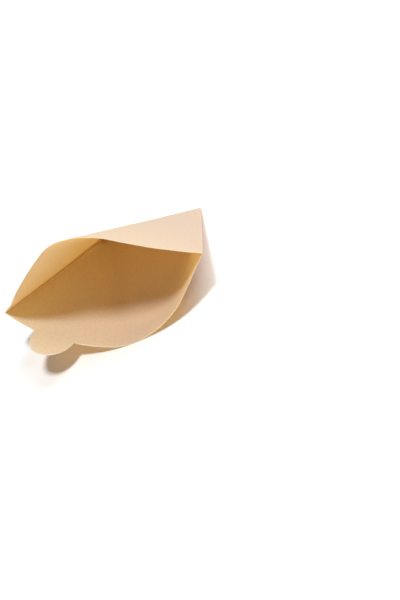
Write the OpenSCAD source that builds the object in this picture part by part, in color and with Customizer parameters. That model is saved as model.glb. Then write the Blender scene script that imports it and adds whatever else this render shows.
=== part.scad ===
// Wedge-shaped paper coffee filter, opened ready for use and lying on its lower ply.
// One folded sheet: a fold down one side, a crimped seam down the other side and along the bottom,
// both seams folded flat in opposite directions, a curved rim and a finger tab on the lower ply.
// Millimetres, +Z up, mouth towards -Y, origin under the middle of the outer box.

/* [Sheet] */
// Length of each slanted side of the flat filter
side_length = 90; // [75:0.5:120]
// Width of the flat filter across its bottom edge
bottom_width = 68.5; // [50:0.5:90]
// Slant of each side from the middle line, in degrees
flare = 32.3; // [27:0.1:36]
// Radius of the curved rim
rim_radius = 125; // [110:1:160]
// Thickness of one ply of paper
paper = 0.2; // [0.14:0.01:0.3]

/* [Opening] */
// Lift of the upper ply's flat face from the middle plane, in degrees
upper_lift = 23; // [12:0.5:27]
// Lift of the lower ply's flat face from the middle plane, in degrees
lower_lift = 20.5; // [12:0.5:27]
// Place of the upper flat face's tip on the rim arc, in degrees towards the seam
upper_peak = -2.5; // [-8:0.5:6]
// Place of the lower flat face's tip on the rim arc, in degrees towards the seam
lower_peak = -7; // [-10:0.5:6]
// Share of the upper ply's fold-side wall that is bent
upper_fold_bend = 0.34; // [0.15:0.01:0.75]
// Share of the upper ply's seam-side wall that is bent
upper_seam_bend = 0.18; // [0.12:0.01:0.65]
// Share of the lower ply's fold-side wall that is bent
lower_fold_bend = 0.58; // [0.15:0.01:0.75]
// Share of the lower ply's seam-side wall that is bent
lower_seam_bend = 0.14; // [0.12:0.01:0.65]
// Share of the upper ply's seam-side wall that curls back towards the seam
pinch_share = 0.2; // [0.1:0.01:0.3]
// Turn of that curl, in degrees
pinch_turn = 14; // [0:1:18]

/* [Seams] */
// Width of the two glued and crimped seams
seam_width = 8.7; // [6:0.1:11]
// Angle at which the folded bottom seam springs away from the lower ply
bottom_spring = 5; // [4:0.5:12]
// Angle at which the folded side seam springs away from the upper ply
side_spring = 17; // [12:0.5:24]
// Spacing of the crimp marks, measured square to them
crimp_pitch = 2.4; // [1.8:0.1:4]
// Height of the embossed crimp marks
crimp_height = 0.2; // [0.1:0.05:0.25]
// Plain margin between the crimp marks and the seam's free edge
crimp_margin = 2; // [1:0.1:3]

/* [Tab] */
// Radius of the round finger tab
tab_radius = 14.5; // [10:0.5:17]
// How far the tab stands out past the rim
tab_reach = 15; // [12:0.5:20]
// Distance along the rim from the flat seam corner to the middle of the tab
tab_from_corner = 52; // [44:0.5:60]

/* [Hidden] */

kraft = [0.9, 0.8, 0.67];
fold = 1;
seam = -1;
upper = 1;
lower = -1;
end_angle = 90 + flare;
bend_steps = 7;
rim_steps = 9;
tab_steps = 20;
tab_corner_gap = 0.05;
solve_steps = 44;
widest_turn = 100;
// A folded seam starts half a ply inside the wall, so the two join along the fold
seam_sink = paper / 2;
seam_thickness = 2 * paper;
// Crimp marks rise and fall over this length at their ends
crimp_ramp = 0.6;
crimp_start = 0.3;
// The turned-over ends of the bottom seam are drawn in a little from the seams that they lie on
lap_share = 0.94;
// Rise and fall of one crimp mark over its pitch
crimp_profile = [[0, 0], [0.2, 1], [0.5, 1], [0.7, 0]];
// Marks run parallel to the fold edge on both seams
bottom_pitch = crimp_pitch / cos(flare);
side_pitch = crimp_pitch / sin(2 * flare);

// Flat pattern, with the bottom edge on the u axis and the rim up
mouth_half = bottom_width / 2 + side_length * sin(flare);
arc_centre = [0, side_length * cos(flare) - sqrt(rim_radius ^ 2 - mouth_half ^ 2)];
fold_root = [-bottom_width / 2 - seam_width * tan(flare), seam_width];
seam_root = [bottom_width / 2 - seam_width * cos(flare) + seam_width * (1 - sin(flare)) * tan(flare), seam_width];
root_half = (seam_root.x - fold_root.x) / 2;
tab_turn = asin(mouth_half / rim_radius) - tab_from_corner / rim_radius * 180 / PI;
tab_centre = arc_centre + (rim_radius + tab_reach - tab_radius) * [sin(tab_turn), cos(tab_turn)];
tab_distance = norm(tab_centre - seam_root);
tab_angle = atan2(tab_centre.y - seam_root.y, seam_root.x - tab_centre.x);
tab_spread = asin(tab_radius / tab_distance);

function unit(v) = v / norm(v);
function mirrored(v, side, ply) = [side * v.x, v.y, ply * v.z];
function turned(v, axis, angle) =
  let (k = unit(axis)) v * cos(angle) + cross(k, v) * sin(angle) + k * (k * v) * (1 - cos(angle));
function reversed(list) = [for (i = [len(list) - 1:-1:0]) list[i]];
function root(side) = side == fold ? fold_root : seam_root;
function root_point(side) = [-side * root_half, 0, 0];
function rim_point(angle) = arc_centre + rim_radius * [sin(angle), cos(angle)];

// Distance from a point of the flat pattern to the rim arc along a direction
function rim_distance(from, along) =
  let (q = from - arc_centre, b = q * along) sqrt(b ^ 2 - q * q + rim_radius ^ 2) - b;

// Each ply is a flat triangle between the two roots and its peak on the rim, with a wall on either side.
// A wall keeps its straight lines through its root: it curls over a share of its angle, then runs flat
// to the side edge, which lies in the middle plane. At the seam the upper ply also curls back a little.
// Nothing stretches, so the flat pattern still holds.
// A wall is the list [lift, start, stop, curl, trim, back start, back curl].
function flat_ray(lift, angle) = [cos(angle), sin(angle) * cos(lift), sin(angle) * sin(lift)];
function bent_frame(wall, angle) =
  let (
    normal = [0, -sin(wall[0]), cos(wall[0])],
    ray = flat_ray(wall[0], min(angle, wall[1])),
    axis = normal + wall[3] * ray,
    bend = max(0, min(angle, wall[2]) - wall[1]) * norm(axis),
    past = max(0, min(angle, wall[5]) - wall[2]),
    ray_out = turned(ray, axis, bend),
    normal_out = turned(normal, axis, bend),
    ray_past = ray_out * cos(past) + cross(normal_out, ray_out) * sin(past),
    back_axis = normal_out + wall[6] * ray_past,
    back = max(0, angle - wall[5]) * norm(back_axis)
  ) [turned(ray_past, back_axis, back), turned(normal_out, back_axis, back)];
function trimmed(v, wall, angle) =
  turned(v, [0, 0, 1], wall[4] * max(0, angle - wall[1]) / (end_angle - wall[1]));
function wall_frame(wall, angle) = [for (v = bent_frame(wall, angle)) trimmed(v, wall, angle)];

// The turn of the bend that brings the side edge down into the middle plane, found by halving
function closed_wall(lift, start, stop, back, back_turn, low = 0, high = widest_turn, steps = solve_steps) =
  let (
    middle = (low + high) / 2,
    wall = [lift, start, stop, -middle / (stop - start), 0, back, back_turn]
  )
  steps == 0 ? wall
  : bent_frame(wall, end_angle)[0].z > 0
    ? closed_wall(lift, start, stop, back, back_turn, middle, high, steps - 1)
    : closed_wall(lift, start, stop, back, back_turn, low, middle, steps - 1);
function free_wall(side, lift, peak, share, back_share = 0, back_turn = 0) =
  let (
    to_peak = rim_point(peak) - root(side),
    start = atan2(to_peak.y, side * to_peak.x),
    width = end_angle - start,
    back_curl = back_share > 0 ? back_turn / (back_share * width) : 0
  ) closed_wall(lift, start, start + share * width, end_angle - back_share * width, back_curl);
function heading(wall) = let (ray = bent_frame(wall, end_angle)[0]) atan2(ray.y, ray.x);
// The lower ply's walls are trimmed by a small turn to meet the upper ply's side edges
function matched_wall(wall, other) =
  [wall[0], wall[1], wall[2], wall[3], heading(other) - heading(wall), wall[5], wall[6]];

upper_fold_wall = free_wall(fold, upper_lift, upper_peak, upper_fold_bend);
upper_seam_wall = free_wall(seam, upper_lift, upper_peak, upper_seam_bend, pinch_share, pinch_turn);
lower_fold_wall = matched_wall(free_wall(fold, lower_lift, lower_peak, lower_fold_bend), upper_fold_wall);
lower_seam_wall = matched_wall(free_wall(seam, lower_lift, lower_peak, lower_seam_bend), upper_seam_wall);
function wall_of(side, ply) =
  side == fold ? (ply == upper ? upper_fold_wall : lower_fold_wall)
  : (ply == upper ? upper_seam_wall : lower_seam_wall);

// Length of the straight line at an angle from its root to the paper's edge, round the tab too
function edge_distance(side, ply, angle) =
  let (off = angle - tab_angle, to_rim = rim_distance(root(side), [side * cos(angle), sin(angle)]))
  side == seam && ply == lower && abs(off) < tab_spread + tab_corner_gap / 2
    ? max(to_rim, tab_distance * cos(off) + sqrt(max(0, tab_radius ^ 2 - (tab_distance * sin(off)) ^ 2)))
    : to_rim;
function peak_point(ply) =
  let (wall = wall_of(fold, ply))
  root_point(fold)
    + edge_distance(fold, ply, wall[1]) * mirrored(flat_ray(wall[0], wall[1]), fold, ply);
function side_edge_point(side) =
  root_point(side) + edge_distance(side, upper, end_angle) * side_edge_ray(side);
function side_edge_ray(side) = mirrored(wall_frame(wall_of(side, upper), end_angle)[0], side, upper);
function side_edge_normal(side, ply) = mirrored(wall_frame(wall_of(side, ply), end_angle)[1], side, ply);

// A station is [side, point on the rim, outward normal] for one straight line of a wall
function station(side, ply, angle) =
  let (wall = wall_of(side, ply), frame = wall_frame(wall, angle))
  [
    side,
    angle <= wall[1] ? peak_point(ply)
    : angle >= end_angle ? side_edge_point(side)
    : root_point(side) + edge_distance(side, ply, angle) * mirrored(frame[0], side, ply),
    mirrored(frame[1], side, ply)
  ];
function spaced(from, to, steps) = [for (i = [1:steps]) from + (to - from) * i / steps];
function rim_angles(side, ply, stop) =
  side == seam && ply == lower
    ? concat(
        spaced(stop, tab_angle - tab_spread - tab_corner_gap, rim_steps),
        [for (i = [0:tab_steps]) tab_angle - tab_spread * cos(180 * i / tab_steps)],
        [tab_angle + tab_spread + tab_corner_gap],
        spaced(tab_angle + tab_spread + tab_corner_gap, end_angle, rim_steps)
      )
    : side == seam
    ? let (back = upper_seam_wall[5]) concat(spaced(stop, back, rim_steps), spaced(back, end_angle, bend_steps))
    : spaced(stop, end_angle, 2 * rim_steps);
function wall_stations(side, ply) =
  let (wall = wall_of(side, ply))
  [
    for (angle = concat([wall[1]], spaced(wall[1], wall[2], bend_steps), rim_angles(side, ply, wall[2])))
      station(side, ply, angle)
  ];

// The wall as one ring of stations, from the lower peak over the fold to the upper peak and back by the seam.
// The side edges are shared by both plies, so each is in the ring once, with a mitre in place of its normal.
function mitre(a, b) = (a + b) / (1 + a * b);
function corner_mitre(a, b, c) = (cross(a, b) + cross(b, c) + cross(c, a)) / (cross(a, b) * c);
function side_edge(side) =
  [side, side_edge_point(side), mitre(side_edge_normal(side, upper), side_edge_normal(side, lower))];
function part_of(list, first, last) = [for (i = [first:last]) list[i]];
function fold_stations(ply) = let (all = wall_stations(fold, ply)) part_of(all, 0, len(all) - 2);
function seam_stations(ply) = let (all = wall_stations(seam, ply)) part_of(all, 1, len(all) - 2);
ring = concat(
  fold_stations(lower), [side_edge(fold)], reversed(fold_stations(upper)),
  seam_stations(upper), [side_edge(seam)], reversed(seam_stations(lower))
);
count = len(ring);
upper_normal = [0, -sin(upper_lift), cos(upper_lift)];
lower_normal = [0, -sin(lower_lift), -cos(lower_lift)];
function outer_root_point(side) =
  let (outward = (side_edge_normal(side, upper) + side_edge_normal(side, lower)) / 2)
  root_point(side) + paper * corner_mitre(upper_normal, outward, lower_normal);

// Points of the shell, in blocks: inner roots, outer roots, inner rim, outer rim
outer_root = 2;
inner_rim = 4;
outer_rim = inner_rim + count;
shell_points = concat(
  [root_point(fold), root_point(seam)],
  [outer_root_point(fold), outer_root_point(seam)],
  [for (s = ring) s[1]],
  [for (s = ring) s[1] + paper * s[2]]
);
function root_index(i) = ring[i][0] == fold ? 0 : 1;
// The paper between two neighbouring stations, with the flat triangle where the root changes
function wall_faces(i, k, rim, root) =
  let (root_i = root + root_index(i), root_k = root + root_index(k))
  root_i == root_k ? [[root_i, rim + i, rim + k]]
  : ring[i][0] == fold ? [[root_i, rim + i, root_k], [root_k, rim + i, rim + k]]
  : [[root_i, rim + i, rim + k], [root_i, rim + k, root_k]];
function backwards(faces) = [for (face = faces) reversed(face)];
shell_faces = [
  for (i = [0:count - 1])
    let (k = (i + 1) % count)
    each concat(
      wall_faces(i, k, outer_rim, outer_root),
      backwards(wall_faces(i, k, inner_rim, 0)),
      [[outer_rim + k, outer_rim + i, inner_rim + i], [outer_rim + k, inner_rim + i, inner_rim + k]]
    )
];

// A folded seam lies in its own plane: along the fold, across the seam, and up from the ply it lies on.
// A plane is the list [origin, along, across, up].
function sprung_plane(origin, along, across, up, spring) =
  [origin, along, across * cos(spring) + up * sin(spring), up * cos(spring) - across * sin(spring)];
function side_plane(ply, spring) =
  let (up = side_edge_normal(seam, ply), along = side_edge_ray(seam))
  sprung_plane(root_point(seam), along, ply * cross(up, along), up, spring);
function on_plane(plane, s, w, h) = plane[0] + s * plane[1] + w * plane[2] + h * plane[3];
bottom_seam_plane = sprung_plane(
  root_point(seam), [-1, 0, 0], [0, cos(lower_lift), -sin(lower_lift)], lower_normal, bottom_spring
);
side_seam_plane = side_plane(upper, side_spring);
bottom_end_plane = side_plane(lower, bottom_spring);

// Rows across a seam as [distance from the fold, share of the crimp height]
crimp_stop = seam_width - crimp_margin;
seam_rows = [
  [-paper, 0], [crimp_start, 0], [crimp_start + crimp_ramp, 1],
  [crimp_stop - crimp_ramp, 1], [crimp_stop, 0], [seam_width, 0]
];
// Columns along a seam as [distance along the fold, share of the crimp height]
function crimp_columns(first, last, pitch) =
  let (marks = floor((last - first) / pitch))
  [for (k = [0:marks - 1]) each [for (c = crimp_profile) [first + (k + c[0]) * pitch, c[1]]]];

// The ends of each seam, as the distance along the fold at a distance across the seam
side_rim = [sin(flare), cos(flare)];
side_out = [cos(flare), -sin(flare)];
bottom_wall_turn = lower_seam_wall[2];
bottom_seam_end = function (w) w / tan(bottom_wall_turn);
bottom_fold_end = function (w) 2 * root_half - w * tan(flare);
side_low_end = function (w) w / tan(end_angle - upper_seam_wall[2]);
side_rim_end = function (w) rim_distance(seam_root + w * side_out, side_rim);
bottom_columns = crimp_columns(
  bottom_seam_end(crimp_stop) + crimp_stop * tan(flare) + bottom_pitch / 2,
  bottom_fold_end(0) - bottom_pitch / 2, bottom_pitch
);
side_columns = crimp_columns(
  side_low_end(crimp_stop) + crimp_stop / tan(2 * flare) + side_pitch,
  side_rim_end(0) - side_pitch / 2, side_pitch
);

// Points of one face of a seam, at a height over its plane
function seam_grid(plane, low_end, high_end, columns, slope, h) = [
  [for (r = seam_rows) on_plane(plane, low_end(r[0]), r[0], h)],
  for (c = columns)
    [for (r = seam_rows) on_plane(plane, c[0] - slope * r[0], r[0], h + crimp_height * c[1] * r[1])],
  [for (r = seam_rows) on_plane(plane, high_end(r[0]), r[0], h)]
];
function bottom_grid(h) =
  seam_grid(bottom_seam_plane, bottom_seam_end, bottom_fold_end, bottom_columns, tan(flare), h);
function side_grid(h) =
  seam_grid(side_seam_plane, side_low_end, side_rim_end, side_columns, 1 / tan(2 * flare), h);

// The bottom seam's end turns up under the seam-side wall, and over the side edge on to the side seam.
// Both bits are triangles with one side on the side edge.
edge_lap = seam_width / sin(2 * flare);
wall_lap = seam_width / sin(bottom_wall_turn);
end_turn = end_angle - bottom_wall_turn;
bottom_end_outline = [[0, -paper], [edge_lap, -paper], wall_lap * [cos(end_turn), sin(end_turn)]];
side_end_outline = [[0, 0], [edge_lap, 0], [side_low_end(seam_width), seam_width]];
function drawn_in(outline) = let (middle = mean(outline)) [for (p = outline) middle + lap_share * (p - middle)];
function mean(points) = [for (axis = [0, 1]) [for (p = points) p[axis]] * [for (p = points) 1 / len(points)]];

// A slab between two grids of points with the same columns and rows
module slab(low, high) {
  columns = len(low);
  rows = len(low[0]);
  top = columns * rows;
  function quad(i, j) = [i * rows + j, i * rows + j + 1, (i + 1) * rows + j + 1, (i + 1) * rows + j];
  function halves(q) = [[q[0], q[1], q[2]], [q[0], q[2], q[3]]];
  outline = concat(
    [for (j = [0:rows - 2]) j],
    [for (i = [0:columns - 2]) i * rows + rows - 1],
    [for (j = [rows - 1:-1:1]) (columns - 1) * rows + j],
    [for (i = [columns - 1:-1:1]) i * rows]
  );
  polyhedron(
    points = [for (grid = [low, high]) each [for (column = grid) each column]],
    faces = concat(
      [
        for (i = [0:columns - 2])
          for (j = [0:rows - 2])
            each concat(
              [for (t = halves(quad(i, j))) [t[0] + top, t[1] + top, t[2] + top]],
              [for (t = halves(quad(i, j))) reversed(t)]
            )
      ],
      [
        for (k = [0:len(outline) - 1])
          let (a = outline[k], b = outline[(k + 1) % len(outline)])
          each halves([a, b, b + top, a + top])
      ]
    )
  );
}

// A flat bit of the seam's two plies, from its outline in a plane and its height over it
module flap(plane, outline, height) {
  columns = [plane[1], plane[2], plane[3], plane[0]];
  multmatrix([for (row = [0:2]) [for (column = columns) column[row]]])
    translate([0, 0, height])
      linear_extrude(seam_thickness)
        polygon(drawn_in(outline));
}

module walls() {
  polyhedron(points = shell_points, faces = shell_faces);
}

module bottom_seam() {
  slab(bottom_grid(seam_sink), bottom_grid(seam_sink + seam_thickness));
  flap(bottom_end_plane, bottom_end_outline, seam_sink);
}

module side_seam() {
  slab(side_grid(seam_sink), side_grid(seam_sink + seam_thickness));
  flap(side_seam_plane, side_end_outline, seam_thickness);
}

// Lying at rest: on the bottom seam's free edge and the tip of the lower flat face
lower_tip = peak_point(lower) + paper * lower_normal;
bottom_face = bottom_grid(seam_sink + seam_thickness);
rest_slope = max([for (column = bottom_face) for (p = column) atan2(lower_tip.z - p.z, lower_tip.y - p.y)]);
function at_rest(p) = turned(turned(p, [1, 0, 0], -rest_slope), [0, 0, 1], 180);
outer_points = concat([shell_points], bottom_face, side_grid(seam_sink + seam_thickness));
all_points = [for (column = outer_points) for (p = column) at_rest(p)];
box_low = [for (axis = [0:2]) min([for (p = all_points) p[axis]])];
box_high = [for (axis = [0:2]) max([for (p = all_points) p[axis]])];
rest_shift = -[(box_low.x + box_high.x) / 2, (box_low.y + box_high.y) / 2, box_low.z];

module filter() {
  color(kraft)
    translate(rest_shift)
      rotate([-rest_slope, 0, 180])
        union() {
          walls();
          bottom_seam();
          side_seam();
        }
}

filter();
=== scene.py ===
import math
import bmesh
import bpy
from mathutils import Matrix, Vector, noise


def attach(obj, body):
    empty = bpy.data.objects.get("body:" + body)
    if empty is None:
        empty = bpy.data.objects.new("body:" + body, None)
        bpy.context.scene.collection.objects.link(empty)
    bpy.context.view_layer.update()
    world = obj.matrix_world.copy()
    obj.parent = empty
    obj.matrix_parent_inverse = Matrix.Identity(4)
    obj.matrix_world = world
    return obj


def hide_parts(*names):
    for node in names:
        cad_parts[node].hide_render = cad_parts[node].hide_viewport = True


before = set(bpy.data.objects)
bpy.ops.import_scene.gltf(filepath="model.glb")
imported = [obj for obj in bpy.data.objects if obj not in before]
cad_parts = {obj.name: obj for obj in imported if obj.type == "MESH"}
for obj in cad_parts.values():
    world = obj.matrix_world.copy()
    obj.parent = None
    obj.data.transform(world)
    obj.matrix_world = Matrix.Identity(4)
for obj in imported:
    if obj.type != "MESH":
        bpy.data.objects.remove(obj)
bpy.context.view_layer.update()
print("frame loaded, nodes:", sorted(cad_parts))

# the flat cut, in metres and degrees
cut = {
    "sideLength": 0.090,
    "bottomWidth": 0.0685,
    "flare": 32.3,
    "rimRadius": 0.125,
    "ply": 0.0002,
    "seamWidth": 0.0087,
    "tabRadius": 0.0145,
    "tabReach": 0.015,
    "tabFromCorner": 0.052,
}

# how far the pocket stands open, and how it lies
pocket = {
    "lift": {"upper": 23.0, "lower": 20.5},
    "peak": {"upper": -2.5, "lower": -7.0},
    "bend": {
        ("fold", "upper"): 0.34,
        ("seam", "upper"): 0.18,
        ("fold", "lower"): 0.58,
        ("seam", "lower"): 0.14,
    },
    "pinchShare": 0.20,
    "pinchTurn": 14.0,
    "mostTurn": 100.0,
    "halvings": 40,
    "restSlope": -19.8182,
    "restShift": (0.00178406, 0.0530412, 0.00135887),
}

sideSign = {"fold": 1, "seam": -1}
plySign = {"upper": 1, "lower": -1}
flare = math.radians(cut["flare"])
endAngle = math.pi / 2 + flare

# flat pattern, bottom edge along u, rim up
mouthHalf = cut["bottomWidth"] / 2 + cut["sideLength"] * math.sin(flare)
arcDrop = math.sqrt(cut["rimRadius"] ** 2 - mouthHalf ** 2)
arcCentre = Vector((0, cut["sideLength"] * math.cos(flare) - arcDrop))
flatRoot = {
    "fold": Vector((-cut["bottomWidth"] / 2 - cut["seamWidth"] * math.tan(flare), cut["seamWidth"])),
    "seam": Vector((
        cut["bottomWidth"] / 2 - cut["seamWidth"] * math.cos(flare)
        + cut["seamWidth"] * (1 - math.sin(flare)) * math.tan(flare),
        cut["seamWidth"],
    )),
}
rootHalf = (flatRoot["seam"].x - flatRoot["fold"].x) / 2
tabTurn = math.asin(mouthHalf / cut["rimRadius"]) - cut["tabFromCorner"] / cut["rimRadius"]
tabOut = cut["rimRadius"] + cut["tabReach"] - cut["tabRadius"]
tabCentre = arcCentre + tabOut * Vector((math.sin(tabTurn), math.cos(tabTurn)))
tabArm = tabCentre - flatRoot["seam"]
tabAngle = math.atan2(tabArm.y, -tabArm.x)
tabSpread = math.asin(cut["tabRadius"] / tabArm.length)
tabSlack, besideTab = 0.0004, 0.0006  # radians: what still counts as tab, and where the rim goes on


def rimDistance(start, along):
    arm = start - arcCentre
    b = arm.dot(along)
    return math.sqrt(b * b - arm.dot(arm) + cut["rimRadius"] ** 2) - b


def edgeDistance(side, ply, angle):
    off = angle - tabAngle
    toRim = rimDistance(flatRoot[side], Vector((sideSign[side] * math.cos(angle), math.sin(angle))))
    if (side, ply) == ("seam", "lower") and abs(off) <= tabSpread + tabSlack:
        reach = max(0.0, cut["tabRadius"] ** 2 - (tabArm.length * math.sin(off)) ** 2)
        return max(toRim, tabArm.length * math.cos(off) + math.sqrt(reach))
    return toRim


def flatRay(lift, angle):
    return Vector((math.cos(angle), math.sin(angle) * math.cos(lift), math.sin(angle) * math.sin(lift)))


# straight line and outward normal of a wall at an angle: flat, curling, flat again, then pinched at the seam
def bentFrame(wall, angle):
    normal = Vector((0, -math.sin(wall["lift"]), math.cos(wall["lift"])))
    ray = flatRay(wall["lift"], min(angle, wall["start"]))
    axis = normal + wall["curl"] * ray
    bend = max(0.0, min(angle, wall["stop"]) - wall["start"]) * axis.length
    past = max(0.0, min(angle, wall["pinch"]) - wall["stop"])
    turn = Matrix.Rotation(bend, 3, axis)
    ray, normal = turn @ ray, turn @ normal
    ray = ray * math.cos(past) + normal.cross(ray) * math.sin(past)
    axis = normal + wall["pinchCurl"] * ray
    turn = Matrix.Rotation(max(0.0, angle - wall["pinch"]) * axis.length, 3, axis)
    ray, normal = turn @ ray, turn @ normal
    share = max(0.0, angle - wall["start"]) / (endAngle - wall["start"])
    trim = Matrix.Rotation(wall["trim"] * share, 3, "Z")
    return trim @ ray, trim @ normal


# the curl that brings the side edge into the middle plane, found by halving
def closedWall(side, ply):
    peak = math.radians(pocket["peak"][ply])
    tip = arcCentre + cut["rimRadius"] * Vector((math.sin(peak), math.cos(peak))) - flatRoot[side]
    start = math.atan2(tip.y, sideSign[side] * tip.x)
    stop = start + pocket["bend"][side, ply] * (endAngle - start)
    pinched = pocket["pinchShare"] * (endAngle - start) if (side, ply) == ("seam", "upper") else 0.0
    wall = {
        "lift": math.radians(pocket["lift"][ply]), "start": start, "stop": stop, "curl": 0.0, "trim": 0.0,
        "pinch": endAngle - pinched,
        "pinchCurl": math.radians(pocket["pinchTurn"]) / pinched if pinched else 0.0,
    }
    low, high = 0.0, math.radians(pocket["mostTurn"])
    for step in range(pocket["halvings"]):
        middle = (low + high) / 2
        wall["curl"] = -middle / (stop - start)
        if bentFrame(wall, endAngle)[0].z > 0:
            low = middle
        else:
            high = middle
    return wall


walls = {(side, ply): closedWall(side, ply) for side in sideSign for ply in plySign}
for side in sideSign:
    heading = {}
    for ply in plySign:
        edgeRay = bentFrame(walls[side, ply], endAngle)[0]
        heading[ply] = math.atan2(edgeRay.y, edgeRay.x)
    walls[side, "lower"]["trim"] = heading["upper"] - heading["lower"]


def mirrored(v, side, ply):
    return Vector((sideSign[side] * v.x, v.y, plySign[ply] * v.z))


def rootPoint(side):
    return Vector((-sideSign[side] * rootHalf, 0, 0))


restTurn = Matrix.Rotation(math.pi, 4, "Z") @ Matrix.Rotation(math.radians(-pocket["restSlope"]), 4, "X")
lyingAtRest = Matrix.Translation(pocket["restShift"]) @ restTurn

# the sheet's own small unevenness
sheet = {
    "rays": 56,
    "curlRays": 20,
    "tabRays": 40,
    "steps": 48,
    "wave": 0.00035,
    "waveSize": 0.034,
    "flutter": 0.00022,
    "flutterSize": 0.013,
    "flutterFrom": 0.045,
    "flutterOver": 0.06,
    "fadeFold": 0.016,
    "seed": {"upper": 3.7, "lower": 9.1},
    "flutterSeed": 20,
    "merge": 0.000002,
}
uvPerMetre = 10  # the flat sheet's UV map counts tenths of a metre


def smooth(x):
    x = min(1.0, max(0.0, x))
    return x * x * (3 - 2 * x)


def foldGap(flat):
    gaps = [flat.y - cut["seamWidth"]]
    for side in sideSign:
        along = Vector((sideSign[side] * math.cos(endAngle), math.sin(endAngle)))
        arm = flat - flatRoot[side]
        gaps.append(abs(arm.x * along.y - arm.y * along.x))
    return max(0.0, min(gaps))


def unevenness(flat, ply):
    seed = sheet["seed"][ply]
    spot = Vector((flat.x, flat.y, 0))
    broad = noise.noise(spot / sheet["waveSize"] + Vector((0, 0, seed)))
    fine = noise.noise(spot / sheet["flutterSize"] + Vector((0, 0, seed + sheet["flutterSeed"])))
    atRim = smooth((flat.y - sheet["flutterFrom"]) / sheet["flutterOver"])
    uneven = sheet["wave"] * broad + sheet["flutter"] * atRim * fine
    return smooth(foldGap(flat) / sheet["fadeFold"]) * uneven


# the lower ply lies mirrored over the fold in the unfolded sheet, so the grain runs on through the fold
def sheetPoint(flat, ply):
    if ply == "upper":
        return flat
    along = Vector((math.cos(endAngle), math.sin(endAngle)))
    arm = flat - flatRoot["fold"]
    return flatRoot["fold"] + 2 * arm.dot(along) * along - arm


def spaced(first, last, steps):
    return [first + (last - first) * i / steps for i in range(steps + 1)]


def wallAngles(side, ply):
    wall = walls[side, ply]
    curl = spaced(wall["start"], wall["stop"], sheet["curlRays"])
    if (side, ply) == ("seam", "upper"):
        before = spaced(wall["stop"], wall["pinch"], sheet["rays"] // 2)
        return curl[:-1] + before[:-1] + spaced(wall["pinch"], endAngle, sheet["rays"] // 2)
    if side == "fold":
        return curl[:-1] + spaced(wall["stop"], endAngle, sheet["rays"])
    steps = sheet["tabRays"]
    tab = [tabAngle - tabSpread * math.cos(math.pi * i / steps) for i in range(steps + 1)]
    before = spaced(wall["stop"], tabAngle - tabSpread - besideTab, sheet["rays"] // 2)
    after = spaced(tabAngle + tabSpread + besideTab, endAngle, sheet["rays"] // 2)
    return curl[:-1] + before + tab + after


def addPaperPoint(build, layers, side, ply, angle, distance, rimGap):
    ray, normal = bentFrame(walls[side, ply], angle)
    flat = flatRoot[side] + distance * Vector((sideSign[side] * math.cos(angle), math.sin(angle)))
    place = rootPoint(side) + mirrored(ray * distance + normal * unevenness(flat, ply), side, ply)
    vert = build.verts.new(place)
    # the distance to the rim places the painted rim highlight
    vert[layers["rimGap"]] = rimGap
    vert[layers["foldGap"]] = foldGap(flat)
    vert[layers["outward"]] = mirrored(normal, side, ply)
    vert[layers["cutPlace"]] = sheetPoint(flat, ply).to_3d()
    return vert


def addFace(build, corners):
    face = build.faces.new(corners)
    face.smooth = True
    return face


def makePaper():
    build = bmesh.new()
    layers = {
        "rimGap": build.verts.layers.float.new("rimGap"),
        "foldGap": build.verts.layers.float.new("foldGap"),
        "outward": build.verts.layers.float_vector.new("outward"),
        "cutPlace": build.verts.layers.float_vector.new("cutPlace"),
    }
    steps = sheet["steps"]
    for ply in plySign:
        for side in sideSign:
            rays = []
            for angle in wallAngles(side, ply):
                reach = edgeDistance(side, ply, angle)
                rays.append([
                    addPaperPoint(build, layers, side, ply, angle, reach * k / steps, reach * (1 - k / steps))
                    for k in range(steps + 1)
                ])
            for near, far in zip(rays, rays[1:]):
                addFace(build, [near[0], near[1], far[1]])
                for k in range(1, steps):
                    addFace(build, [near[k], near[k + 1], far[k + 1], far[k]])
        # flat triangle between the two roots and the peak
        tip = {side: walls[side, ply]["start"] for side in sideSign}
        reach = edgeDistance("fold", ply, tip["fold"])
        tipFlat = flatRoot["fold"] + reach * Vector((math.cos(tip["fold"]), math.sin(tip["fold"])))
        rows = []
        for i in range(steps + 1):
            row = []
            for j in range(steps - i + 1):
                flat = (flatRoot["fold"] * (steps - i - j) + flatRoot["seam"] * j + tipFlat * i) / steps
                arm = flat - flatRoot["fold"]
                row.append(addPaperPoint(
                    build, layers, "fold", ply, math.atan2(arm.y, arm.x), arm.length,
                    cut["rimRadius"] - (flat - arcCentre).length,
                ))
            rows.append(row)
        for i in range(steps):
            for j in range(steps - i):
                addFace(build, [rows[i][j], rows[i][j + 1], rows[i + 1][j]])
                if j < steps - i - 1:
                    addFace(build, [rows[i][j + 1], rows[i + 1][j + 1], rows[i + 1][j]])
    outward = {}
    for face in build.faces:
        outward[face] = sum((vert[layers["outward"]] for vert in face.verts), Vector())
    build.normal_update()
    for face in build.faces:
        if face.normal.dot(outward[face]) < 0:
            face.normal_flip()
    # flat-sheet places become the UV map, before the plies share points
    uvLayer = build.loops.layers.uv.new("flatSheet")
    for face in build.faces:
        for loop in face.loops:
            loop[uvLayer].uv = loop.vert[layers["cutPlace"]].to_2d() * uvPerMetre
    bmesh.ops.remove_doubles(build, verts=build.verts, dist=sheet["merge"])
    build.transform(lyingAtRest)
    mesh = bpy.data.meshes.new("filterPaper")
    build.to_mesh(mesh)
    build.free()
    for name in ("outward", "cutPlace"):
        mesh.attributes.remove(mesh.attributes[name])
    return mesh


def place(name, mesh):
    piece = bpy.data.objects.new(name, mesh)
    bpy.context.scene.collection.objects.link(piece)
    return piece


sharpAngle = math.radians(32)


def plainMesh(piece):
    bpy.context.view_layer.update()
    made = bpy.data.meshes.new_from_object(piece.evaluated_get(bpy.context.evaluated_depsgraph_get()))
    piece.modifiers.clear()
    piece.data = made
    made.name = piece.name
    made.set_sharp_from_angle(angle=sharpAngle)
    return made


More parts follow.
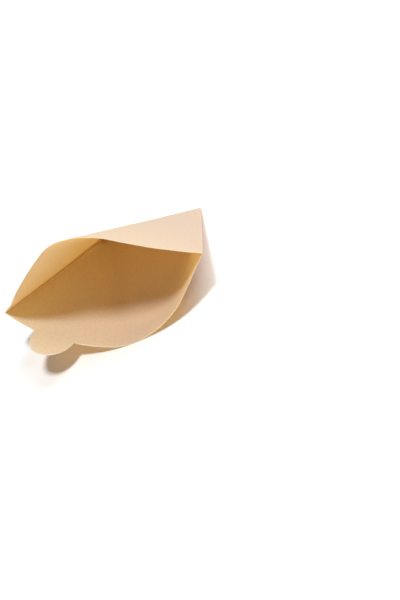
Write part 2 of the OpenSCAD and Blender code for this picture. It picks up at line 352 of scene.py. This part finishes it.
def thicken(piece, thickness, rimMaterial=0, innerMaterial=0):
    solid = piece.modifiers.new("plies", "SOLIDIFY")
    solid.thickness = thickness
    solid.offset = 1
    solid.use_even_offset = True
    solid.use_quality_normals = True
    solid.material_offset_rim = rimMaterial
    solid.material_offset = innerMaterial


# shader helpers
def addNode(tree, kind, at, **settings):
    node = tree.nodes.new(kind)
    node.location = at
    for name, value in settings.items():
        setattr(node, name, value)
    return node


def join(tree, source, target):
    tree.links.new(source, target)


pulp = {
    "cloudSize": 0.0017,
    "cloudTurn": 0.3,
    "cloudLimits": (0.26, 0.74),
    "fibreLength": 0.004,
    "fibreTurns": (0.15, 1.05, -0.75, 1.75),
    "fibreStretch": (1, 13, 1),
    "fibreWarp": 0.35,
    "fibreLimits": (0.57, 0.72),
    "bitTurn": 2.2,
    "bitStretch": (4, 4, 1),
    "bitLimits": (0.70, 0.78),
    "ribPitch": 0.0011,
    "ribTurn": 0.99,
    "ribScale": 0.31416,
    "ribWarp": 2.2,
    "ribDetailScale": 0.35,
    "cloudHeight": 0.5,
    "fibreHeight": 0.35,
    "ribHeight": 0.16,
}


# pulp clouds, lying fibres, dark bits and the fine ribs of the drying cloth, all from the sheet's own place
def fibreGroup():
    group = bpy.data.node_groups.new("paperFibres", "ShaderNodeTree")
    face = group.interface
    face.new_socket("Place", in_out="INPUT", socket_type="NodeSocketVector")
    sizes = {"Cloud size": "cloudSize", "Fibre length": "fibreLength", "Rib pitch": "ribPitch"}
    for name, key in sizes.items():
        face.new_socket(name, in_out="INPUT", socket_type="NodeSocketFloat").default_value = pulp[key]
    for name in ("Cloud", "Fibre", "Bits", "Rib", "Height"):
        face.new_socket(name, in_out="OUTPUT", socket_type="NodeSocketFloat")
    source = addNode(group, "NodeGroupInput", (-1200, 0))
    sink = addNode(group, "NodeGroupOutput", (900, 0))

    def scaled(size, stretch, turn, at):
        mapping = addNode(group, "ShaderNodeMapping", at)
        mapping.inputs["Rotation"].default_value = (0, 0, turn)
        join(group, source.outputs["Place"], mapping.inputs["Vector"])
        share = addNode(group, "ShaderNodeMath", (at[0] + 180, at[1] - 120), operation="DIVIDE")
        share.inputs[0].default_value = 1.0
        join(group, size, share.inputs[1])
        grow = addNode(group, "ShaderNodeVectorMath", (at[0] + 360, at[1]), operation="SCALE")
        join(group, mapping.outputs["Vector"], grow.inputs[0])
        join(group, share.outputs[0], grow.inputs["Scale"])
        widen = addNode(group, "ShaderNodeVectorMath", (at[0] + 540, at[1]), operation="MULTIPLY")
        widen.inputs[1].default_value = stretch
        join(group, grow.outputs[0], widen.inputs[0])
        return widen.outputs[0]

    def speckle(vector, at, detail, roughness, warp=0.0):
        tex = addNode(group, "ShaderNodeTexNoise", at)
        tex.inputs["Scale"].default_value = 1.0
        tex.inputs["Detail"].default_value = detail
        tex.inputs["Roughness"].default_value = roughness
        tex.inputs["Distortion"].default_value = warp
        join(group, vector, tex.inputs["Vector"])
        return tex.outputs["Fac"]

    def ranged(value, limits, at):
        span = addNode(group, "ShaderNodeMapRange", at, interpolation_type="SMOOTHSTEP")
        span.inputs["From Min"].default_value, span.inputs["From Max"].default_value = limits
        join(group, value, span.inputs["Value"])
        return span.outputs["Result"]

    def combine(operation, a, b, at):
        sums = addNode(group, "ShaderNodeMath", at, operation=operation)
        for slot, value in zip(sums.inputs, (a, b)):
            if isinstance(value, (int, float)):
                slot.default_value = value
            else:
                join(group, value, slot)
        return sums.outputs[0]

    cloudSize, fibreLength, ribPitch = (source.outputs[name] for name in sizes)
    clouds = scaled(cloudSize, (1, 1, 1), pulp["cloudTurn"], (-1000, 600))
    cloud = speckle(clouds, (-200, 600), 5.0, 0.62)
    fibres = None
    for k, turn in enumerate(pulp["fibreTurns"]):
        row = 300 - 220 * k
        lying = scaled(fibreLength, pulp["fibreStretch"], turn, (-1000, row))
        streak = speckle(lying, (-200, row), 2.0, 0.5, pulp["fibreWarp"])
        line = ranged(streak, pulp["fibreLimits"], (0, row))
        fibres = line if fibres is None else combine("MAXIMUM", fibres, line, (200, row))
    strewn = scaled(fibreLength, pulp["bitStretch"], pulp["bitTurn"], (-1000, -620))
    bits = ranged(speckle(strewn, (-200, -620), 2.0, 0.5), pulp["bitLimits"], (0, -620))
    ribs = addNode(group, "ShaderNodeTexWave", (-200, -860), bands_direction="X")
    ribs.inputs["Scale"].default_value = pulp["ribScale"]
    ribs.inputs["Distortion"].default_value = pulp["ribWarp"]
    ribs.inputs["Detail"].default_value = 2.0
    ribs.inputs["Detail Scale"].default_value = pulp["ribDetailScale"]
    join(group, scaled(ribPitch, (1, 1, 1), pulp["ribTurn"], (-1000, -860)), ribs.inputs["Vector"])
    rib = ribs.outputs["Fac"]
    height = combine("MULTIPLY", cloud, pulp["cloudHeight"], (400, 200))
    height = combine("ADD", height, combine("MULTIPLY", fibres, pulp["fibreHeight"], (400, 0)), (560, 200))
    height = combine("ADD", height, combine("MULTIPLY", rib, pulp["ribHeight"], (400, -200)), (720, 200))
    cloud = ranged(cloud, pulp["cloudLimits"], (0, 600))
    for name, value in zip(("Cloud", "Fibre", "Bits", "Rib", "Height"), (cloud, fibres, bits, rib, height)):
        join(group, value, sink.inputs[name])
    return group


paperFibres = fibreGroup()

# finishes: pale and deep pulp as light falls on it, then as light comes through it, and how much does; the
# outside and inside finishes are lit and shaded copies of one paper, the outside painted cooler and the
# inside painted warmer and brighter
outsidePaintedCool = {
    "pale": (0.89, 0.97, 0.94), "deep": (0.87, 0.94, 0.90),
    "glowPale": (1.0, 0.75, 0.36), "glowDeep": (0.98, 0.69, 0.31), "thin": 0.60, "worn": 0.10,
    # painted highlight: the paler colour of the band along the rim
    "rim": (1.0, 0.93, 0.78),
}
# painted light: the inside is warmer and brighter than the outside, standing in for the golden light within
# the pocket
insidePaintedWarm = {
    "pale": (1.0, 0.99, 0.90), "deep": (0.98, 0.95, 0.83),
    "glowPale": (1.0, 0.80, 0.42), "glowDeep": (0.95, 0.63, 0.26), "thin": 0.60,
    # painted highlight: the paler colour of the band along the rim
    "rim": (1.0, 1.0, 0.92),
}
pressed = {
    "pale": (0.96, 0.97, 0.92), "deep": (0.93, 0.93, 0.86),
    "glowPale": (1.0, 0.86, 0.52), "glowDeep": (0.97, 0.74, 0.38), "thin": 0.56,
    # crimp marks: partly the pressed paper's own darker colour, partly painted shade in the pressed slits
    "crimp": (0.20, 0.11, 0.05),
}
cutEdge = {
    "pale": (1.0, 0.95, 0.84), "deep": (0.96, 0.89, 0.75),
    "glowPale": (1.0, 0.95, 0.82), "glowDeep": (1.0, 0.90, 0.74), "thin": 0.85,
}

# what all the finishes share
paper = {
    "roughness": 0.82,
    "gloss": 0.22,
    "relief": 0.35,
    "reliefDepth": 0.00022,
    "paleGain": 1.05,
    "paleLift": 0.02,
    "fibreShare": 0.45,
    "bitShare": 0.5,
    "ribShare": 0.12,
    "brownOf": (0.62, 0.52, 0.42),
    # width and strength of the painted rim highlight
    "wornWidth": 0.0011,
    "rimWidth": 0.0012,
    "rimShare": 0.9,
    "crimpLimits": (0.3, 0.95),
}


def paperMaterial(name, look):
    material = bpy.data.materials.new(name)
    material.use_nodes = True
    tree = material.node_tree
    tree.nodes.clear()
    flat = addNode(tree, "ShaderNodeUVMap", (-1200, 0), uv_map="flatSheet")
    metres = addNode(tree, "ShaderNodeVectorMath", (-1020, 0), operation="SCALE")
    metres.inputs["Scale"].default_value = 1 / uvPerMetre
    join(tree, flat.outputs["UV"], metres.inputs[0])
    fibres = addNode(tree, "ShaderNodeGroup", (-840, 0), node_tree=paperFibres)
    join(tree, metres.outputs[0], fibres.inputs["Place"])

    def mix(factor, a, b, at):
        node = addNode(tree, "ShaderNodeMix", at, data_type="RGBA")
        for socket, value in ((node.inputs[0], factor), (node.inputs[6], a), (node.inputs[7], b)):
            if isinstance(value, bpy.types.NodeSocket):
                join(tree, value, socket)
            elif isinstance(value, tuple):
                socket.default_value = (*value, 1)
            else:
                socket.default_value = value
        return node.outputs[2]

    def times(value, factor, at):
        node = addNode(tree, "ShaderNodeMath", at, operation="MULTIPLY")
        join(tree, value, node.inputs[0])
        node.inputs[1].default_value = factor
        return node.outputs[0]

    def byAttribute(name, limits, results, at):
        mark = addNode(tree, "ShaderNodeAttribute", at, attribute_name=name)
        span = addNode(tree, "ShaderNodeMapRange", (at[0] + 200, at[1]), interpolation_type="SMOOTHSTEP")
        for socket, number in zip(("From Min", "From Max", "To Min", "To Max"), (*limits, *results)):
            span.inputs[socket].default_value = number
        join(tree, mark.outputs["Fac"], span.inputs["Value"])
        return span.outputs["Result"]

    colour = mix(fibres.outputs["Cloud"], look["deep"], look["pale"], (-600, 200))
    pale = tuple(min(1.0, c * paper["paleGain"] + paper["paleLift"]) for c in look["pale"])
    brown = tuple(c * f for c, f in zip(look["deep"], paper["brownOf"]))
    colour = mix(times(fibres.outputs["Fibre"], paper["fibreShare"], (-600, 0)), colour, pale, (-400, 200))
    colour = mix(times(fibres.outputs["Bits"], paper["bitShare"], (-600, -160)), colour, brown, (-200, 200))
    colour = mix(times(fibres.outputs["Rib"], paper["ribShare"], (-600, -320)), colour, brown, (-100, 200))
    through = mix(fibres.outputs["Cloud"], look["glowDeep"], look["glowPale"], (200, 20))
    if "worn" in look:
        worn = byAttribute("foldGap", (0.0, paper["wornWidth"]), (look["worn"], 0.0), (-600, 460))
        colour = mix(worn, colour, pale, (0, 200))
    # crimp marks darkened: partly the pressed paper's own colour, partly painted shade in the slits
    if "crimp" in look:
        mark = byAttribute("crimp", paper["crimpLimits"], (0.0, 1.0), (-400, 640))
        colour = mix(mark, colour, look["crimp"], (0, 420))
    # painted highlight: a pale band along the rim, in the colour and in the light coming through
    if "rim" in look:
        rimHighlightMask = byAttribute("rimGap", (0.0, paper["rimWidth"]), (paper["rimShare"], 0.0), (-600, -480))
        colour = mix(rimHighlightMask, colour, look["rim"], (100, 420))
        through = mix(rimHighlightMask, through, look["rim"], (300, -100))
    body = addNode(tree, "ShaderNodeBsdfPrincipled", (420, 260))
    body.inputs["Roughness"].default_value = paper["roughness"]
    body.inputs["Specular IOR Level"].default_value = paper["gloss"]
    join(tree, colour, body.inputs["Base Color"])
    bump = addNode(tree, "ShaderNodeBump", (200, -260))
    bump.inputs["Strength"].default_value = paper["relief"]
    bump.inputs["Distance"].default_value = paper["reliefDepth"]
    join(tree, fibres.outputs["Height"], bump.inputs["Height"])
    join(tree, bump.outputs["Normal"], body.inputs["Normal"])
    glow = addNode(tree, "ShaderNodeBsdfTranslucent", (420, -180))
    join(tree, through, glow.inputs["Color"])
    blend = addNode(tree, "ShaderNodeMixShader", (720, 160))
    blend.inputs["Fac"].default_value = look["thin"]
    join(tree, body.outputs[0], blend.inputs[1])
    join(tree, glow.outputs[0], blend.inputs[2])
    out = addNode(tree, "ShaderNodeOutputMaterial", (920, 160))
    join(tree, blend.outputs[0], out.inputs["Surface"])
    return material


# the outside finish, painted cooler, and the inside finish, painted warmer and brighter: lit and shaded
# copies of one paper
kraftOutsidePaintedCool = paperMaterial("kraftOutsidePaintedCool", outsidePaintedCool)
kraftInsidePaintedWarm = paperMaterial("kraftInsidePaintedWarm", insidePaintedWarm)
seamPaper = paperMaterial("seamPaper", pressed)
cutPaper = paperMaterial("cutPaper", cutEdge)
print("paper materials made")

filterPaper = place("filterPaper", makePaper())
for material in (kraftOutsidePaintedCool, cutPaper, kraftInsidePaintedWarm):
    filterPaper.data.materials.append(material)
thicken(filterPaper, cut["ply"], 1, 2)
plainMesh(filterPaper)
print("paper made:", len(filterPaper.data.polygons), "faces")

# the two crimped seams, each a strip folded on to a ply
seams = {
    "crimpPitch": 0.0024,
    "crimpHeight": 0.0002,
    "crimpMargin": 0.002,
    "crimpStart": 0.0003,
    "ramp": 0.0006,
    "markRise": (0.0, 0.2),
    "markFall": (0.5, 0.7),
    "bottomSpring": 5.0,
    "sideSpring": 17.0,
    "rimSpring": 8.0,
    "columnsPerMark": 9,
    "rows": 26,
}


def crimpTree():
    tree = bpy.data.node_groups.new("crimpedSeam", "GeometryNodeTree")
    face = tree.interface
    face.new_socket("Geometry", in_out="INPUT", socket_type="NodeSocketGeometry")
    names = (
        "Width", "Ply", "Low slope", "High start", "High slope", "First mark", "Pitch", "Mark slope",
        "Mark height", "Mark margin", "Mark start", "Ramp", "Marks",
    )
    for name in names:
        face.new_socket(name, in_out="INPUT", socket_type="NodeSocketFloat")
    for name in ("Columns", "Rows"):
        face.new_socket(name, in_out="INPUT", socket_type="NodeSocketInt")
    face.new_socket("Material", in_out="INPUT", socket_type="NodeSocketMaterial")
    face.new_socket("Geometry", in_out="OUTPUT", socket_type="NodeSocketGeometry")
    source = addNode(tree, "NodeGroupInput", (-1800, 0))
    value = source.outputs

    def maths(operation, a, b, at):
        node = addNode(tree, "ShaderNodeMath", at, operation=operation)
        for slot, given in zip(node.inputs, (a, b)):
            if isinstance(given, (int, float)):
                slot.default_value = given
            elif given is not None:
                join(tree, given, slot)
        return node.outputs[0]

    def ramped(given, low, high, at, toLow=0.0, toHigh=1.0):
        node = addNode(tree, "ShaderNodeMapRange", at, interpolation_type="SMOOTHSTEP")
        for socket, number in zip(("From Min", "From Max", "To Min", "To Max"), (low, high, toLow, toHigh)):
            if isinstance(number, (int, float)):
                node.inputs[socket].default_value = number
            else:
                join(tree, number, node.inputs[socket])
        join(tree, given, node.inputs["Value"])
        return node.outputs["Result"]

    grid = addNode(tree, "GeometryNodeMeshGrid", (-1500, 300))
    grid.inputs["Size X"].default_value = 1.0
    grid.inputs["Size Y"].default_value = 1.0
    join(tree, value["Columns"], grid.inputs["Vertices X"])
    join(tree, value["Rows"], grid.inputs["Vertices Y"])
    parts = addNode(tree, "ShaderNodeSeparateXYZ", (-1300, 0))
    join(tree, addNode(tree, "GeometryNodeInputPosition", (-1500, 0)).outputs[0], parts.inputs[0])
    share = maths("ADD", parts.outputs["X"], 0.5, (-1100, 100))
    across = maths("ADD", parts.outputs["Y"], 0.5, (-1100, -60))
    across = maths("MULTIPLY", across, maths("ADD", value["Width"], value["Ply"], (-1100, -220)), (-900, -60))
    across = maths("SUBTRACT", across, value["Ply"], (-740, -60))
    low = maths("MULTIPLY", across, value["Low slope"], (-560, 200))
    high = maths("MULTIPLY", across, value["High slope"], (-560, 40))
    high = maths("ADD", value["High start"], high, (-400, 40))
    along = maths("MULTIPLY", maths("SUBTRACT", high, low, (-240, 120)), share, (-80, 120))
    along = maths("ADD", along, low, (80, 120))
    # one mark rises and falls over each pitch, and fades out at both ends of the row and of the mark
    count = maths("ADD", along, maths("MULTIPLY", across, value["Mark slope"], (-240, -120)), (80, -60))
    count = maths("SUBTRACT", count, value["First mark"], (240, -60))
    count = maths("DIVIDE", count, value["Pitch"], (400, -60))
    turn = maths("FRACT", count, None, (560, -60))
    markRise = ramped(turn, *seams["markRise"], (720, 60))
    markFall = ramped(turn, *seams["markFall"], (720, -200), 1.0, 0.0)
    mark = maths("MULTIPLY", markRise, markFall, (900, -60))
    begun = maths("GREATER_THAN", count, 0.0, (720, -460))
    inside = maths("MULTIPLY", begun, maths("LESS_THAN", count, value["Marks"], (720, -620)), (900, -540))
    riseEnd = maths("ADD", value["Mark start"], value["Ramp"], (400, -760))
    rise = ramped(across, value["Mark start"], riseEnd, (560, -760))
    last = maths("SUBTRACT", value["Width"], value["Mark margin"], (240, -940))
    fall = ramped(across, maths("SUBTRACT", last, value["Ramp"], (400, -940)), last, (560, -940), 1.0, 0.0)
    ends = maths("MULTIPLY", rise, fall, (900, -800))
    mark = maths("MULTIPLY", maths("MULTIPLY", mark, inside, (1060, -200)), ends, (1220, -200))
    lifted = maths("MULTIPLY", mark, value["Mark height"], (1380, -200))
    lifted = maths("ADD", lifted, maths("DIVIDE", value["Ply"], 2.0, (1380, -360)), (1540, -200))
    spot = addNode(tree, "ShaderNodeCombineXYZ", (1700, 0))
    for socket, given in zip(spot.inputs, (along, across, lifted)):
        join(tree, given, socket)
    # marks and flat places are kept before the points move
    store = "GeometryNodeStoreNamedAttribute"
    # the crimp mark mask, which the shader also uses to darken the marks, partly with painted shade
    keepMark = addNode(tree, store, (1700, 300), data_type="FLOAT", domain="POINT")
    keepMark.inputs["Name"].default_value = "crimp"
    join(tree, grid.outputs["Mesh"], keepMark.inputs["Geometry"])
    join(tree, mark, keepMark.inputs["Value"])
    tens = addNode(tree, "ShaderNodeVectorMath", (1900, 120), operation="SCALE")
    tens.inputs["Scale"].default_value = uvPerMetre
    join(tree, spot.outputs[0], tens.inputs[0])
    keepFlat = addNode(tree, store, (2100, 300), data_type="FLOAT2", domain="CORNER")
    keepFlat.inputs["Name"].default_value = "flatSheet"
    join(tree, keepMark.outputs[0], keepFlat.inputs["Geometry"])
    join(tree, tens.outputs[0], keepFlat.inputs["Value"])
    move = addNode(tree, "GeometryNodeSetPosition", (2300, 300))
    join(tree, keepFlat.outputs[0], move.inputs["Geometry"])
    join(tree, spot.outputs[0], move.inputs["Position"])
    soft = addNode(tree, "GeometryNodeSetShadeSmooth", (2480, 300))
    join(tree, move.outputs[0], soft.inputs["Geometry"])
    real = addNode(tree, "GeometryNodeRealizeInstances", (2660, 300))
    join(tree, soft.outputs[0], real.inputs["Geometry"])
    paint = addNode(tree, "GeometryNodeSetMaterial", (2840, 300))
    join(tree, real.outputs[0], paint.inputs["Geometry"])
    join(tree, value["Material"], paint.inputs["Material"])
    sink = addNode(tree, "NodeGroupOutput", (3020, 300))
    join(tree, paint.outputs[0], sink.inputs[0])
    return tree


crimpedSeam = crimpTree()


def sprungPlane(origin, along, across, up, spring):
    turn = math.radians(spring)
    axes = [
        along,
        across * math.cos(turn) + up * math.sin(turn),
        up * math.cos(turn) - across * math.sin(turn),
    ]
    return Matrix((
        *[(axes[0][k], axes[1][k], axes[2][k], origin[k]) for k in range(3)],
        (0, 0, 0, 1),
    ))


def sideFrame(ply):
    ray, normal = bentFrame(walls["seam", ply], endAngle)
    along, up = mirrored(ray, "seam", "upper"), mirrored(normal, "seam", ply)
    return along, plySign[ply] * up.cross(along), up


lowerLift = math.radians(pocket["lift"]["lower"])
bottomPlane = sprungPlane(
    rootPoint("seam"), Vector((-1, 0, 0)), Vector((0, math.cos(lowerLift), -math.sin(lowerLift))),
    Vector((0, -math.sin(lowerLift), -math.cos(lowerLift))), seams["bottomSpring"],
)
sideAxes = sideFrame("upper")
bottomEndPlane = sprungPlane(rootPoint("seam"), *sideFrame("lower"), seams["bottomSpring"])
wallTurn = walls["seam", "lower"]["stop"]
# the side seam's low end follows the wall's bend
sideLow = 1 / math.tan(endAngle - walls["seam", "upper"]["stop"])
sideOut = Vector((math.cos(flare), -math.sin(flare)))
sideUp = Vector((math.sin(flare), math.cos(flare)))
sideReach = [rimDistance(flatRoot["seam"] + w * sideOut, sideUp) for w in (0.0, cut["seamWidth"])]
crimpStop = cut["seamWidth"] - seams["crimpMargin"]


# the side seam twists a little: it stands off more at its low end than at the rim
def sidePlaneAt(along):
    share = min(1.0, max(0.0, along / sideReach[0]))
    spring = seams["sideSpring"] + (seams["rimSpring"] - seams["sideSpring"]) * share
    return sprungPlane(rootPoint("seam"), *sideAxes, spring)


def placeMesh(mesh, planeAt):
    for vert in mesh.vertices:
        vert.co = lyingAtRest @ planeAt(vert.co.x) @ vert.co
    if (lyingAtRest @ planeAt(0.0)).to_3x3().determinant() < 0:
        mesh.flip_normals()
    mesh.update()


def makeSeam(name, planeAt, lowSlope, highStart, highSlope, firstMark, lastMark, pitch, markSlope):
    piece = place(name, bpy.data.meshes.new(name))
    marks = math.floor((lastMark - firstMark) / pitch)
    given = {
        "Width": cut["seamWidth"], "Ply": cut["ply"], "Low slope": lowSlope, "High start": highStart,
        "High slope": highSlope, "First mark": firstMark, "Pitch": pitch, "Mark slope": markSlope,
        "Mark height": seams["crimpHeight"], "Mark margin": seams["crimpMargin"],
        "Mark start": seams["crimpStart"], "Ramp": seams["ramp"], "Marks": float(marks),
        "Columns": int(highStart / pitch * seams["columnsPerMark"]), "Rows": seams["rows"],
        "Material": seamPaper,
    }
    modifier = piece.modifiers.new("crimps", "NODES")
    modifier.node_group = crimpedSeam
    for item in crimpedSeam.interface.items_tree:
        if item.in_out == "INPUT" and item.name in given:
            modifier[item.identifier] = given[item.name]
    thicken(piece, 2 * cut["ply"])
    placeMesh(plainMesh(piece), planeAt)
    print(name, "made:", marks, "crimp marks")
    return piece


bottomPitch = seams["crimpPitch"] / math.cos(flare)
sidePitch = seams["crimpPitch"] / math.sin(2 * flare)
bottomSeam = makeSeam(
    "bottomSeam", lambda along: bottomPlane, 1 / math.tan(wallTurn), 2 * rootHalf, -math.tan(flare),
    crimpStop / math.tan(wallTurn) + crimpStop * math.tan(flare) + bottomPitch / 2,
    2 * rootHalf - bottomPitch / 2, bottomPitch, math.tan(flare),
)
sideSeam = makeSeam(
    "sideSeam", sidePlaneAt, sideLow, sideReach[0], (sideReach[1] - sideReach[0]) / cut["seamWidth"],
    crimpStop * sideLow + crimpStop / math.tan(2 * flare) + sidePitch,
    sideReach[0] - sidePitch / 2, sidePitch, 1 / math.tan(2 * flare),
)

# the bottom seam's end, turned up under the wall and over on to the side seam
laps = {"drawnIn": 0.94, "bevel": 0.00008, "bevelSteps": 2}


def makeLap(name, planeAt, outline, height):
    build = bmesh.new()
    middle = sum(outline, Vector((0, 0))) / len(outline)
    rim = [build.verts.new((*(middle + laps["drawnIn"] * (p - middle)), height)) for p in outline]
    base = build.faces.new(rim)
    top = bmesh.ops.extrude_face_region(build, geom=[base])["geom"]
    raised = [v for v in top if isinstance(v, bmesh.types.BMVert)]
    bmesh.ops.translate(build, verts=raised, vec=(0, 0, 2 * cut["ply"]))
    bmesh.ops.recalc_face_normals(build, faces=build.faces)
    bmesh.ops.bevel(
        build, geom=build.edges[:], offset=laps["bevel"], segments=laps["bevelSteps"], affect="EDGES",
    )
    uvLayer = build.loops.layers.uv.new("flatSheet")
    for face in build.faces:
        face.smooth = True
        for loop in face.loops:
            loop[uvLayer].uv = loop.vert.co.to_2d() * uvPerMetre
    mesh = bpy.data.meshes.new(name)
    build.to_mesh(mesh)
    build.free()
    mesh.materials.append(seamPaper)
    mesh.set_sharp_from_angle(angle=sharpAngle)
    placeMesh(mesh, planeAt)
    return place(name, mesh)


edgeLap = cut["seamWidth"] / math.sin(2 * flare)
wallLap = cut["seamWidth"] / math.sin(wallTurn)
endTurn = endAngle - wallTurn
bottomLap = makeLap("bottomLap", lambda along: bottomEndPlane, [
    Vector((0, -cut["ply"])), Vector((edgeLap, -cut["ply"])),
    wallLap * Vector((math.cos(endTurn), math.sin(endTurn))),
], cut["ply"] / 2)
sideLap = makeLap("sideLap", sidePlaneAt, [
    Vector((0, 0)), Vector((edgeLap, 0)), Vector((cut["seamWidth"] * sideLow, cut["seamWidth"])),
], 2 * cut["ply"])
print("seam ends made")

for piece in (filterPaper, bottomSeam, sideSeam, bottomLap, sideLap):
    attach(piece, "root")
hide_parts("filter")

# studio: white floor, a soft lamp behind, a harder one overhead, and surroundings that the camera sees
# as white and that light the filter neutrally from behind and more warmly from before
studio = {
    "floor": 8.0,
    "floorTone": 1.0,
    "floorBounce": 0.75,
    "floorCells": 8,
    "floorRoughness": 0.9,
    "softTowards": (0.40, 0.58, 0.71),
    "softStrength": 1.7,
    "softAngle": 40.0,
    "hardTowards": (0.25, -0.02, 0.965),
    "hardStrength": 2.2,
    "hardAngle": 14.0,
    "lampTint": (0.97, 1.0, 1.02),
    "fillFrom": (0.0, 0.8, 0.6),
    "fillEdge": -0.2,
    "fillBehind": (0.20, 0.20, 0.20),
    "fillBefore": (0.22, 0.17, 0.12),
}


def makeFloor():
    build = bmesh.new()
    cells = studio["floorCells"]
    bmesh.ops.create_grid(build, x_segments=cells, y_segments=cells, size=studio["floor"] / 2)
    mesh = bpy.data.meshes.new("studioFloor")
    build.to_mesh(mesh)
    build.free()
    material = bpy.data.materials.new("studioWhite")
    material.use_nodes = True
    tree = material.node_tree
    shader = tree.nodes["Principled BSDF"]
    tone = addNode(tree, "ShaderNodeMapRange", (-240, 200))
    tone.inputs["To Min"].default_value = studio["floorBounce"]
    tone.inputs["To Max"].default_value = studio["floorTone"]
    path = addNode(tree, "ShaderNodeLightPath", (-440, 200))
    join(tree, path.outputs["Is Camera Ray"], tone.inputs["Value"])
    join(tree, tone.outputs["Result"], shader.inputs["Base Color"])
    shader.inputs["Roughness"].default_value = studio["floorRoughness"]
    shader.inputs["Specular IOR Level"].default_value = 0.0
    mesh.materials.append(material)
    return place("studioFloor", mesh)


makeFloor()

for kind in ("soft", "hard"):
    lamp = bpy.data.lights.new(kind + "Lamp", "SUN")
    lamp.energy = studio[kind + "Strength"]
    lamp.color = studio["lampTint"]
    lamp.angle = math.radians(studio[kind + "Angle"])
    lampStand = place(kind + "Lamp", lamp)
    lampStand.rotation_mode = "QUATERNION"
    lampStand.rotation_quaternion = Vector(studio[kind + "Towards"]).to_track_quat("Z", "Y")

world = bpy.data.worlds.new("studioWorld")
bpy.context.scene.world = world
world.use_nodes = True
sky = world.node_tree
sky.nodes.clear()
rays = addNode(sky, "ShaderNodeLightPath", (-600, 0))
towards = addNode(sky, "ShaderNodeVectorMath", (-800, -200), operation="DOT_PRODUCT")
join(sky, addNode(sky, "ShaderNodeTexCoord", (-1000, -200)).outputs["Generated"], towards.inputs[0])
towards.inputs[1].default_value = Vector(studio["fillFrom"]).normalized()
share = addNode(sky, "ShaderNodeMapRange", (-600, -200), interpolation_type="SMOOTHSTEP")
share.inputs["From Min"].default_value = studio["fillEdge"]
join(sky, towards.outputs["Value"], share.inputs["Value"])
fill = addNode(sky, "ShaderNodeMix", (-400, -200), data_type="RGBA")
fill.inputs[6].default_value = (*studio["fillBefore"], 1)
fill.inputs[7].default_value = (*studio["fillBehind"], 1)
join(sky, share.outputs["Result"], fill.inputs[0])
seen = addNode(sky, "ShaderNodeMix", (-200, 0), data_type="RGBA")
seen.inputs[7].default_value = (1, 1, 1, 1)
join(sky, fill.outputs[2], seen.inputs[6])
join(sky, rays.outputs["Is Camera Ray"], seen.inputs[0])
backdrop = addNode(sky, "ShaderNodeBackground", (0, 0))
join(sky, seen.outputs[2], backdrop.inputs["Color"])
join(sky, backdrop.outputs[0], addNode(sky, "ShaderNodeOutputWorld", (200, 0)).inputs["Surface"])

# camera, turned about its axis so that the filter shows as in the photograph
view = {
    "place": (0.68432, -0.71784, 0.65033),
    "right": (0.80563, 0.21165, -0.55332),
    "up": (0.21626, 0.76448, 0.60729),
    "lens": 120.0,
    "sensor": 36.0,
}
camera = bpy.data.cameras.new("photoCamera")
camera.lens = view["lens"]
camera.sensor_width = view["sensor"]
cameraStand = place("photoCamera", camera)
right, up = Vector(view["right"]).normalized(), Vector(view["up"])
up = (up - up.dot(right) * right).normalized()
axes = Matrix((right, up, right.cross(up))).transposed()
cameraStand.matrix_world = Matrix.Translation(view["place"]) @ axes.to_4x4()
bpy.context.scene.camera = cameraStand
bpy.context.scene.view_settings.view_transform = "Standard"
print("studio and camera set")

bpy.context.view_layer.update()
